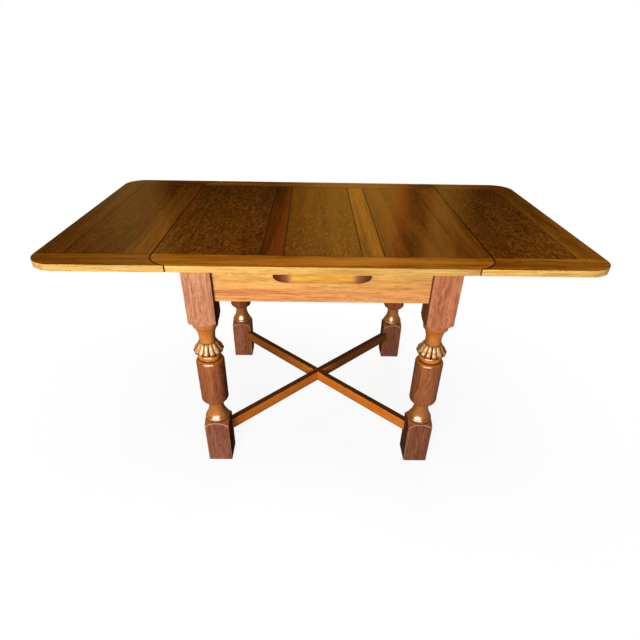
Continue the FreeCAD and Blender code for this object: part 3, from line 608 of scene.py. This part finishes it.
def leg_oak():
    """Red-brown blocks, orange turnings, a golden bulb and darker barrels, with painted shade in the
    creases.
    """
    material, graph = new_material("oak_leg")
    figure = Figure(graph, "z", shift=0.0, wave=0.035)
    place = graph.place()
    normal = graph.rounding()
    turned = graph.between(place[2], *TURNED_FINISH)
    barrel = graph.between(place[2], *BARREL_FINISH)
    smooth = graph.math("SUBTRACT", turned, barrel)
    light = leg_light(graph, place)
    dark = graph.mix(1.0, light, LEG_DARK_GRAIN, "MULTIPLY")
    grain = graph.product(graph.rest(figure.shade(bands=0.45, low=0.36, high=0.64)),
                          graph.fade(smooth, 0.0, 1.0, before=1.0, after=0.38))
    colour = graph.mix(grain, light, dark)
    colour = leg_shade_highlight_and_wear(graph, place, normal, turned, colour)
    colour = graph.mix(bulb_crest_highlight(graph, place), colour, BULB_CREST_HIGHLIGHT)
    pores = graph.product(figure.pores, graph.fade(smooth, 0.0, 1.0, before=0.6, after=0.08))
    colour = graph.mix(pores, colour, LEG_PORE)
    colour = graph.mix(leg_crease_shade(graph, place, turned), colour, LEG_SHADE)
    colour = graph.mix(leg_inner_shade(graph, place, normal, turned), colour, LEG_SHADE)
    polish = leg_polish(graph, place, normal, turned, barrel)
    finish_material(graph, colour, figure.roughness(0.36, 0.50), figure.relief(), bump_depth=0.00015,
                    specular=0.0, coat=polish, coat_roughness=0.22)
    return material


# Oak of the aprons and the drawer front

APRON_GOLDEN = ((0.58, 0.27, 0.070), (0.88, 0.50, 0.145))
APRON_REDDISH = ((0.48, 0.15, 0.050), (0.85, 0.39, 0.130))
APRON_PORE = (0.36, 0.12, 0.026)
APRON_SHIFT = 0.2

# Heights between which the aprons turn from golden to reddish
GOLDEN_ABOVE = LEG_TOP - 0.040
REDDISH_BELOW = LEG_TOP - 0.070

# Depths behind the drawer's face at which the scoop's painted light and shade start and are full, and
# how far they go past the scoop's lip and foot
SCOOP_PAINT_DEPTHS = (0.0004, 0.0016)
SCOOP_MARGIN = 0.001

# The scoop's painted light in the middle ends, and its painted shade at the ends begins, between these
# distances
BRIGHT_ENDS = (0.110, 0.080)
SHADED_ENDS_BEGIN = (0.074, 0.102)
BRIGHT_ABOVE_FOOT = 0.011
# Painted light on the scoop's middle, and painted shade at its ends
SCOOP_BRIGHT = ((0.62, 0.31, 0.036), (0.96, 0.61, 0.100))
SCOOP_END_SHADE = [(0.075, (0.62, 0.30, 0.11)), (0.097, (0.33, 0.12, 0.050)),
               (0.118, (0.16, 0.050, 0.018)), (SCOOP_HALF_LENGTH, (0.050, 0.014, 0.004))]


def apron_colour(graph, figure, place):
    """Golden-orange oak, with red streaks low down."""
    low = graph.fade(place[2], GOLDEN_ABOVE, REDDISH_BELOW)
    golden = graph.mix(figure.shade(bands=0.35, low=0.34, high=0.66), *APRON_GOLDEN)
    reddish = graph.mix(figure.shade(bands=0.60, low=0.38, high=0.60), *APRON_REDDISH)
    colour = graph.mix(low, golden, reddish)
    return graph.mix(graph.product(figure.pores, 0.7), colour, APRON_PORE)


def finish_apron(graph, figure, colour):
    """The aprons' dull wax."""
    finish_material(graph, colour, figure.roughness(0.36, 0.50), figure.relief(), bump_depth=0.00015,
                    specular=0.08)


def apron_oak(name, along):
    """The plain aprons at the back and the ends."""
    material, graph = new_material(name)
    figure = Figure(graph, along, APRON_SHIFT)
    finish_apron(graph, figure, apron_colour(graph, figure, graph.place()))
    return material


def drawer_oak():
    """Apron oak with a finger scoop, painted light in its middle and painted shade at its ends."""
    material, graph = new_material("oak_drawer_front")
    figure = Figure(graph, "x", APRON_SHIFT)
    place = graph.place()
    shallow, full = SCOOP_PAINT_DEPTHS
    inside = graph.product(graph.fade(place[1], DRAWER_FACE + shallow, DRAWER_FACE + full),
                           graph.math("LESS_THAN", place[1], DRAWER_FACE + SCOOP_DEPTH),
                           graph.math("GREATER_THAN", place[2], SCOOP_FOOT - SCOOP_MARGIN),
                           graph.math("LESS_THAN", place[2], SCOOP_LIP + SCOOP_MARGIN))
    aside = graph.size(place[0])
    middle = graph.product(graph.fade(aside, *BRIGHT_ENDS),
                           graph.fade(place[2], SCOOP_FOOT, SCOOP_FOOT + BRIGHT_ABOVE_FOOT))
    bright = graph.mix(figure.shade(bands=0.35, low=0.38, high=0.62), *SCOOP_BRIGHT)
    colour = graph.mix(graph.product(inside, middle), apron_colour(graph, figure, place), bright)
    ends = graph.fade(aside, *SHADED_ENDS_BEGIN)
    colour = graph.mix(graph.product(inside, ends), colour, graph.ramp(aside, SCOOP_END_SHADE))
    finish_apron(graph, figure, colour)
    return material


# Oak of the stretchers and of the pieces inside, and steel

STRETCHER_OAK = ((0.62, 0.160, 0.015), (0.96, 0.290, 0.034))
# Painted shade on the stretchers' upper faces
STRETCHER_UPPER_SHADE = ((0.050, 0.016, 0.004), (0.120, 0.040, 0.008))
# Painted shade along the stretchers' lower arris
STRETCHER_LOWER_SHADE = (0.12, 0.030, 0.004)
# Painted shade on the stretchers towards the back and the right
STRETCHER_BACK_SHADE = (0.05, 0.014, 0.003)
STRETCHER_PORE = (0.06, 0.018, 0.004)
BARE_OAK = ((0.27, 0.155, 0.07), (0.45, 0.29, 0.14))
BARE_PORE = (0.12, 0.06, 0.025)
STEEL_GREY = (0.42, 0.40, 0.37)
STEEL_BROWN = (0.16, 0.09, 0.05)
STEEL_SPOT_WAVES = (700.0, 700.0)

# Heights at which a stretcher's painted shade on its lower arris ends and is full, and the places
# between which its painted shade comes in towards the back and thickens towards the right
ARRIS_ENDS = STRETCHER_LOW.z + 0.010
ARRIS_FULL = STRETCHER_LOW.z + 0.001
SHADE_BACKWARD = (-0.02, 0.08)
SHADE_RIGHTWARD = (-0.04, 0.06)


def stretcher_oak(name, along):
    """Orange-brown oak, with painted shade on the upper face, along the lower arris and at the back."""
    material, graph = new_material(name)
    figure = Figure(graph, along, shift=0.5)
    place = graph.place()
    normal = graph.facing()
    wood = figure.shade(bands=0.45, low=0.32, high=0.68)
    lower = graph.fade(place[2], ARRIS_ENDS, ARRIS_FULL, after=0.5)
    colour = graph.mix(lower, graph.mix(wood, *STRETCHER_OAK), STRETCHER_LOWER_SHADE)
    upper = graph.fade(normal[2], 0.45, 0.85)
    colour = graph.mix(upper, colour, graph.mix(wood, *STRETCHER_UPPER_SHADE))
    # Painted shade that comes in towards the back and thickens towards the right
    backward = graph.fade(place[1], *SHADE_BACKWARD)
    rightward = graph.fade(place[0], *SHADE_RIGHTWARD, before=0.42, after=0.79)
    colour = graph.mix(graph.product(backward, rightward), colour, STRETCHER_BACK_SHADE)
    colour = graph.mix(graph.product(figure.pores, 0.45), colour, STRETCHER_PORE)
    finish_material(graph, colour, figure.roughness(0.34, 0.48), figure.relief(), bump_depth=0.00015,
                    specular=0.02)
    return material


def bare_oak(name, along):
    """Unvarnished oak of the pieces inside the frame."""
    material, graph = new_material(name)
    figure = Figure(graph, along, shift=0.8)
    colour = graph.mix(figure.shade(bands=0.5, low=0.32, high=0.68), *BARE_OAK)
    colour = graph.mix(graph.product(figure.pores, 0.5), colour, BARE_PORE)
    finish_material(graph, colour, figure.roughness(0.62, 0.78), figure.relief(), bump_depth=0.0002,
                    specular=0.3)
    return material


def dull_steel():
    """Steel screws gone dull, with brown spots."""
    material, graph = new_material("screw_steel_dull")
    spots = graph.fade(graph.noise(graph.point(), STEEL_SPOT_WAVES), 0.5, 0.65)
    colour = graph.mix(spots, STEEL_GREY, STEEL_BROWN)
    roughness = graph.fade(spots, 0.0, 1.0, before=0.38, after=0.75)
    finish_material(graph, colour, roughness, spots, bump_depth=0.0001, specular=0.5, metallic=0.9)
    return material


# Eased edges

# Convex edges are eased if they turn by more than the first angle, in radians, and edges that turn
# by more than the second stay sharp in the shading
EASED_ANGLE = 0.9
SHARP_ANGLE = 0.6
WELD_DISTANCE = 0.00001

# The heights between which a leg's turnings keep their own edges
TURNED_HEIGHTS = (FOOT_TOP - 0.022, BLOCK_BOTTOM + 0.016)

# Widths of the eased edges
OUTER_EASE = 0.0015
SEAM_EASE = 0.0020
JOINT_EASE = 0.0018
LEG_EASE = 0.0020
APRON_EASE = 0.0008
STRETCHER_EASE = 0.0010
INNER_EASE = 0.0006


def geometry_tree(name):
    """An empty tree for a Geometry Nodes modifier, and the graph to fill it with."""
    tree = bpy.data.node_groups.new(name, "GeometryNodeTree")
    tree.interface.new_socket("Geometry", in_out="INPUT", socket_type="NodeSocketGeometry")
    tree.interface.new_socket("Geometry", in_out="OUTPUT", socket_type="NodeSocketGeometry")
    return tree, Graph(tree)


def edge_picker(name, spared=None):
    """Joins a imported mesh's split corners and marks its convex edges, but not at spared heights."""
    tree, graph = geometry_tree(name)
    start = graph.add("NodeGroupInput")
    plain = graph.add("GeometryNodeRemoveAttribute", {"Geometry": start.outputs[0],
                                                      "Name": "custom_normal"})
    joined = graph.add("GeometryNodeMergeByDistance", {"Geometry": plain.outputs[0],
                                                       "Distance": WELD_DISTANCE})
    angle = graph.add("GeometryNodeInputMeshEdgeAngle").outputs["Signed Angle"]
    picked = graph.math("GREATER_THAN", angle, EASED_ANGLE)
    if spared:
        height = graph.separate(graph.add("GeometryNodeInputPosition").outputs[0])[2]
        outside = graph.math("MAXIMUM", graph.math("LESS_THAN", height, spared[0]),
                             graph.math("GREATER_THAN", height, spared[1]))
        picked = graph.product(picked, outside)
    marked = graph.add("GeometryNodeStoreNamedAttribute", {"Geometry": joined.outputs[0],
                                                           "Name": "bevel_weight_edge"},
                       data_type="FLOAT", domain="EDGE")
    graph.feed(marked.inputs["Value"], picked)
    graph.add("NodeGroupOutput", {0: marked.outputs[0]})
    return tree


def edge_smoother(name):
    """Shades a mesh smooth, apart from its sharp edges."""
    tree, graph = geometry_tree(name)
    start = graph.add("NodeGroupInput")
    faces = graph.add("GeometryNodeSetShadeSmooth", {"Geometry": start.outputs[0]}, domain="FACE")
    angle = graph.add("GeometryNodeInputMeshEdgeAngle").outputs["Unsigned Angle"]
    soft = graph.math("LESS_THAN", angle, SHARP_ANGLE)
    edges = graph.add("GeometryNodeSetShadeSmooth", {"Geometry": faces.outputs[0],
                                                     "Shade Smooth": soft}, domain="EDGE")
    graph.add("NodeGroupOutput", {0: edges.outputs[0]})
    return tree


ALL_EDGES = edge_picker("pick_all_edges")
BLOCK_EDGES = edge_picker("pick_block_edges", TURNED_HEIGHTS)
SMOOTH = edge_smoother("smooth_below_crease")


def ease_edges(piece, picker, width, segments):
    """Rounds the picked edges of a piece, and keeps its flat faces flat beside them."""
    picking = piece.modifiers.new("pick_edges", "NODES")
    picking.node_group = picker
    bevel = piece.modifiers.new("eased_edges", "BEVEL")
    bevel.limit_method = "WEIGHT"
    bevel.width = width
    bevel.segments = segments
    smoothing = piece.modifiers.new("smooth_shading", "NODES")
    smoothing.node_group = SMOOTH
    flattening = piece.modifiers.new("flat_faces_stay_flat", "WEIGHTED_NORMAL")
    flattening.keep_sharp = True


def dress(name, material, width=0.0, segments=2):
    """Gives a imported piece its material, and eased edges where a width is given."""
    piece = nodes[name]
    piece.material_slots[0].material = material
    if width:
        ease_edges(piece, BLOCK_EDGES if name in LEGS else ALL_EDGES, width, segments)


# Main top and leaves
SEAM_PIECES = ("top_stile_left", "top_stile_right", "leaf_left_stile_inner", "leaf_right_stile_inner")
for number, board in enumerate(BOARDS):
    material = top_oak(board, SHIFT_PER_BOARD * number)
    if "rail" in board.name or "outer" in board.name:
        dress(board.name, material, OUTER_EASE, segments=3)
    elif board.name in SEAM_PIECES:
        dress(board.name, material, SEAM_EASE)
    else:
        dress(board.name, material, JOINT_EASE)

# Frame and drawer front
LEG_OAK = leg_oak()
for name in LEGS:
    dress(name, LEG_OAK, LEG_EASE, segments=3)
dress("drawer_front", drawer_oak(), APRON_EASE)
dress("apron_back", apron_oak("oak_apron_lengthways", "x"), APRON_EASE)
APRON_CROSSWAYS = apron_oak("oak_apron_crossways", "y")
for name in ("apron_left", "apron_right"):
    dress(name, APRON_CROSSWAYS, APRON_EASE)
for along in ("over", "under"):
    dress("stretcher_" + along, stretcher_oak("oak_stretcher_" + along, along), STRETCHER_EASE)

# Pieces inside
BARE_X = bare_oak("oak_bare_lengthways", "x")
BARE_Y = bare_oak("oak_bare_crossways", "y")
BARE_Z = bare_oak("oak_bare_upright", "z")
STEEL = dull_steel()
LENGTHWAYS = ("drawer_back", "drawer_bottom", "rail_front_top", "rail_front_bottom")
LENGTHWAYS_ENDINGS = ("runner_front", "runner_back", "stops")
CROSSWAYS = ("centre_board", "runner_fences", "drawer_side_left", "drawer_side_right",
             "drawer_bearer_left", "drawer_bearer_right", "drawer_guide_left", "drawer_guide_right",
             "drawer_kicker_left", "drawer_kicker_right")
for name in nodes:
    if name.endswith("screws"):
        dress(name, STEEL)
    elif name in LENGTHWAYS or name.endswith(LENGTHWAYS_ENDINGS):
        dress(name, BARE_X, INNER_EASE)
    elif name in CROSSWAYS:
        dress(name, BARE_Y, INNER_EASE)
    elif name == "guide_pegs":
        dress(name, BARE_Z)


# Stage and light

AMBIENT = 0.07
FLOOR_SIZE = 60.0
FLOOR_LEVEL = -0.0005
FLOOR_PALE = (0.95, 0.95, 0.95)
FLOOR_DIM = (0.20, 0.18, 0.16)
WALL_RADIUS = 6.0
WALL_HEIGHT = 14.0
WALL_SIDES = 96
CEILING = (0.07, 0.035, 0.010)
WHITE = (1.0, 1.0, 1.0)
NEUTRAL = (1.0, 0.98, 0.95)
WARM = (1.0, 0.97, 0.92)

# Distances from the table's middle between which the shadow on the floor fades out
SHADOW_FADES = (0.4, 1.5)

# Warm light and dark bands round the studio wall, by angle from straight behind the table
WALL_BANDS = [
    (-0.90, (0.06, 0.025, 0.003)), (-0.60, (0.10, 0.050, 0.008)), (-0.48, (0.28, 0.165, 0.035)),
    (-0.41, (0.25, 0.135, 0.025)), (-0.36, (0.02, 0.007, 0.001)), (-0.09, (0.02, 0.007, 0.001)),
    (0.05, (0.44, 0.20, 0.020)), (0.18, (0.50, 0.24, 0.030)), (0.215, (0.42, 0.19, 0.022)),
    (0.233, (0.42, 0.07, 0.008)), (0.26, (0.04, 0.015, 0.002)), (0.295, (0.03, 0.012, 0.002)),
    (0.33, (0.34, 0.18, 0.024)), (0.385, (0.18, 0.080, 0.009)), (0.42, (0.02, 0.007, 0.001)),
    (0.55, (0.02, 0.008, 0.001)), (0.62, (0.14, 0.055, 0.007)), (0.90, (0.06, 0.025, 0.003))]


def seen_directly(graph):
    """1 for rays from the camera, and for those that mirror or pass through on their way."""
    path = graph.add("ShaderNodeLightPath").outputs
    mirrored = graph.math("MAXIMUM", path["Is Glossy Ray"], path["Is Transmission Ray"])
    return graph.math("MAXIMUM", path["Is Camera Ray"], mirrored)


def glow(graph, colour):
    """Light of the given colour, from the whole surface."""
    return graph.add("ShaderNodeEmission", {"Color": colour, "Strength": 1.0}).outputs[0]


def studio_floor():
    """A floor that looks white, keeps a soft shadow near the table, and throws little light back up."""
    material, graph = new_material("studio_floor")
    away = graph.add("ShaderNodeVectorMath", {0: graph.point()}, operation="LENGTH").outputs["Value"]
    whiteness = graph.fade(away, *SHADOW_FADES, before=0.90)
    pale = graph.add("ShaderNodeBsdfDiffuse", {"Color": FLOOR_PALE})
    looks = graph.add("ShaderNodeMixShader", {0: whiteness, 1: pale.outputs[0], 2: glow(graph, WHITE)})
    dim = graph.add("ShaderNodeBsdfDiffuse", {"Color": FLOOR_DIM})
    mixed = graph.add("ShaderNodeMixShader", {0: seen_directly(graph), 1: dim.outputs[0],
                                              2: looks.outputs[0]})
    graph.add("ShaderNodeOutputMaterial", {"Surface": mixed.outputs[0]})
    bpy.ops.mesh.primitive_plane_add(size=FLOOR_SIZE, location=(0.0, 0.0, FLOOR_LEVEL))
    floor = bpy.context.object
    floor.name = "studio_floor"
    floor.data.materials.append(material)


def show_only_in_varnish(wall):
    """Hides a part of the studio from all but mirrored rays."""
    wall.visible_camera = False
    wall.visible_diffuse = False
    wall.visible_transmission = False
    wall.visible_shadow = False


def studio_walls():
    """Warm walls round the studio, which only the varnish mirrors."""
    material, graph = new_material("studio_walls")
    place = graph.place()
    bands = graph.ramp(graph.math("ARCTAN2", place[0], place[1]), WALL_BANDS)
    graph.add("ShaderNodeOutputMaterial", {"Surface": glow(graph, bands)})
    bpy.ops.mesh.primitive_cylinder_add(vertices=WALL_SIDES, radius=WALL_RADIUS, depth=WALL_HEIGHT,
                                        end_fill_type="NOTHING", location=(0.0, 0.0, WALL_HEIGHT / 2))
    walls = bpy.context.object
    walls.name = "studio_walls"
    walls.data.materials.append(material)
    show_only_in_varnish(walls)


def studio_ceiling():
    """A dark warm ceiling, which only the varnish mirrors."""
    material, graph = new_material("studio_ceiling")
    graph.add("ShaderNodeOutputMaterial", {"Surface": glow(graph, CEILING)})
    bpy.ops.mesh.primitive_circle_add(vertices=WALL_SIDES, radius=WALL_RADIUS, fill_type="NGON",
                                      location=(0.0, 0.0, WALL_HEIGHT))
    ceiling = bpy.context.object
    ceiling.name = "studio_ceiling"
    ceiling.data.materials.append(material)
    show_only_in_varnish(ceiling)


def studio_world():
    """Looks white, and adds a little even light."""
    world = bpy.data.worlds.new("studio_world")
    bpy.context.scene.world = world
    world.use_nodes = True
    world.node_tree.nodes.clear()
    graph = Graph(world.node_tree)
    strength = graph.scale(seen_directly(graph), 0.0, 1.0, before=AMBIENT)
    background = graph.add("ShaderNodeBackground", {"Color": WHITE, "Strength": strength})
    graph.add("ShaderNodeOutputWorld", {"Surface": background.outputs[0]})


def softbox(name, place, target, width, height, watts, colour, mirrored=False):
    """A rectangular lamp that faces target, and that varnish shows only if mirrored."""
    light = bpy.data.lights.new(name, "AREA")
    light.shape = "RECTANGLE"
    light.size = width
    light.size_y = height
    light.energy = watts
    light.color = colour
    lamp = bpy.data.objects.new(name, light)
    bpy.context.scene.collection.objects.link(lamp)
    lamp.visible_glossy = mirrored
    lamp.location = place
    lamp.rotation_euler = (Vector(target) - Vector(place)).to_track_quat("-Z", "Y").to_euler()
    return lamp


def glint_on_legs():
    """A lamp that only the legs' polish mirrors."""
    lamp = softbox("glint", place=(-0.55, -1.9, 1.25), target=(0.0, -0.35, 0.40), width=2.4, height=1.2,
                   watts=640.0, colour=NEUTRAL, mirrored=True)
    lamp.visible_diffuse = False
    legs = bpy.data.collections.new("legs_with_glints")
    for name in LEGS:
        legs.objects.link(nodes[name])
    lamp.light_linking.receiver_collection = legs


# The camera as fitted to the photo: its place, its turns in radians, and its lens in the photo's pixels
CAMERA_PLACE = (-0.0325, -1.5341, 1.2348)
CAMERA_YAW = 0.0174
CAMERA_PITCH = -0.5998
CAMERA_ROLL = 0.0194
PHOTO_PIXELS = 640
FOCAL_PIXELS = 462.52
LENS_MIDDLE_PIXELS = (316.53, 358.62)
SENSOR_WIDTH_MM = 36.0


def photo_camera():
    """Looks at the table as the photo does."""
    level = math.cos(CAMERA_PITCH)
    ahead = Vector((math.sin(CAMERA_YAW) * level, math.cos(CAMERA_YAW) * level, math.sin(CAMERA_PITCH)))
    right = Vector((math.cos(CAMERA_YAW), -math.sin(CAMERA_YAW), 0.0))
    above = right.cross(ahead)
    across = math.cos(CAMERA_ROLL) * right + math.sin(CAMERA_ROLL) * above
    upward = math.cos(CAMERA_ROLL) * above - math.sin(CAMERA_ROLL) * right
    data = bpy.data.cameras.new("photo_camera")
    data.sensor_width = SENSOR_WIDTH_MM
    data.lens = FOCAL_PIXELS / PHOTO_PIXELS * SENSOR_WIDTH_MM
    data.shift_x = (PHOTO_PIXELS / 2 - LENS_MIDDLE_PIXELS[0]) / PHOTO_PIXELS
    data.shift_y = (LENS_MIDDLE_PIXELS[1] - PHOTO_PIXELS / 2) / PHOTO_PIXELS
    camera = bpy.data.objects.new("photo_camera", data)
    bpy.context.scene.collection.objects.link(camera)
    turn = Matrix((across, upward, -ahead)).transposed()
    camera.matrix_world = Matrix.Translation(CAMERA_PLACE) @ turn.to_4x4()
    bpy.context.scene.camera = camera


studio_floor()
studio_walls()
studio_ceiling()
studio_world()
softbox("key", place=(-0.80, -2.35, 1.15), target=(0.0, -0.2, 0.45), width=0.9, height=0.8,
        watts=57.0, colour=WARM)
glint_on_legs()
softbox("overhead", place=(0.0, 0.2, 3.4), target=(0.0, 0.1, 0.7), width=2.4, height=2.0,
        watts=62.0, colour=NEUTRAL)
softbox("behind", place=(0.5, 3.4, 1.6), target=(0.0, 0.2, 0.4), width=2.0, height=1.4,
        watts=70.0, colour=NEUTRAL)
for name, aside in (("left_side", -3.4), ("right_side", 3.4)):
    softbox(name, place=(aside, 0.6, 2.6), target=(0.0, 0.0, 0.4), width=1.6, height=1.2,
            watts=18.0, colour=NEUTRAL)
photo_camera()

bpy.context.scene.view_settings.view_transform = "Standard"
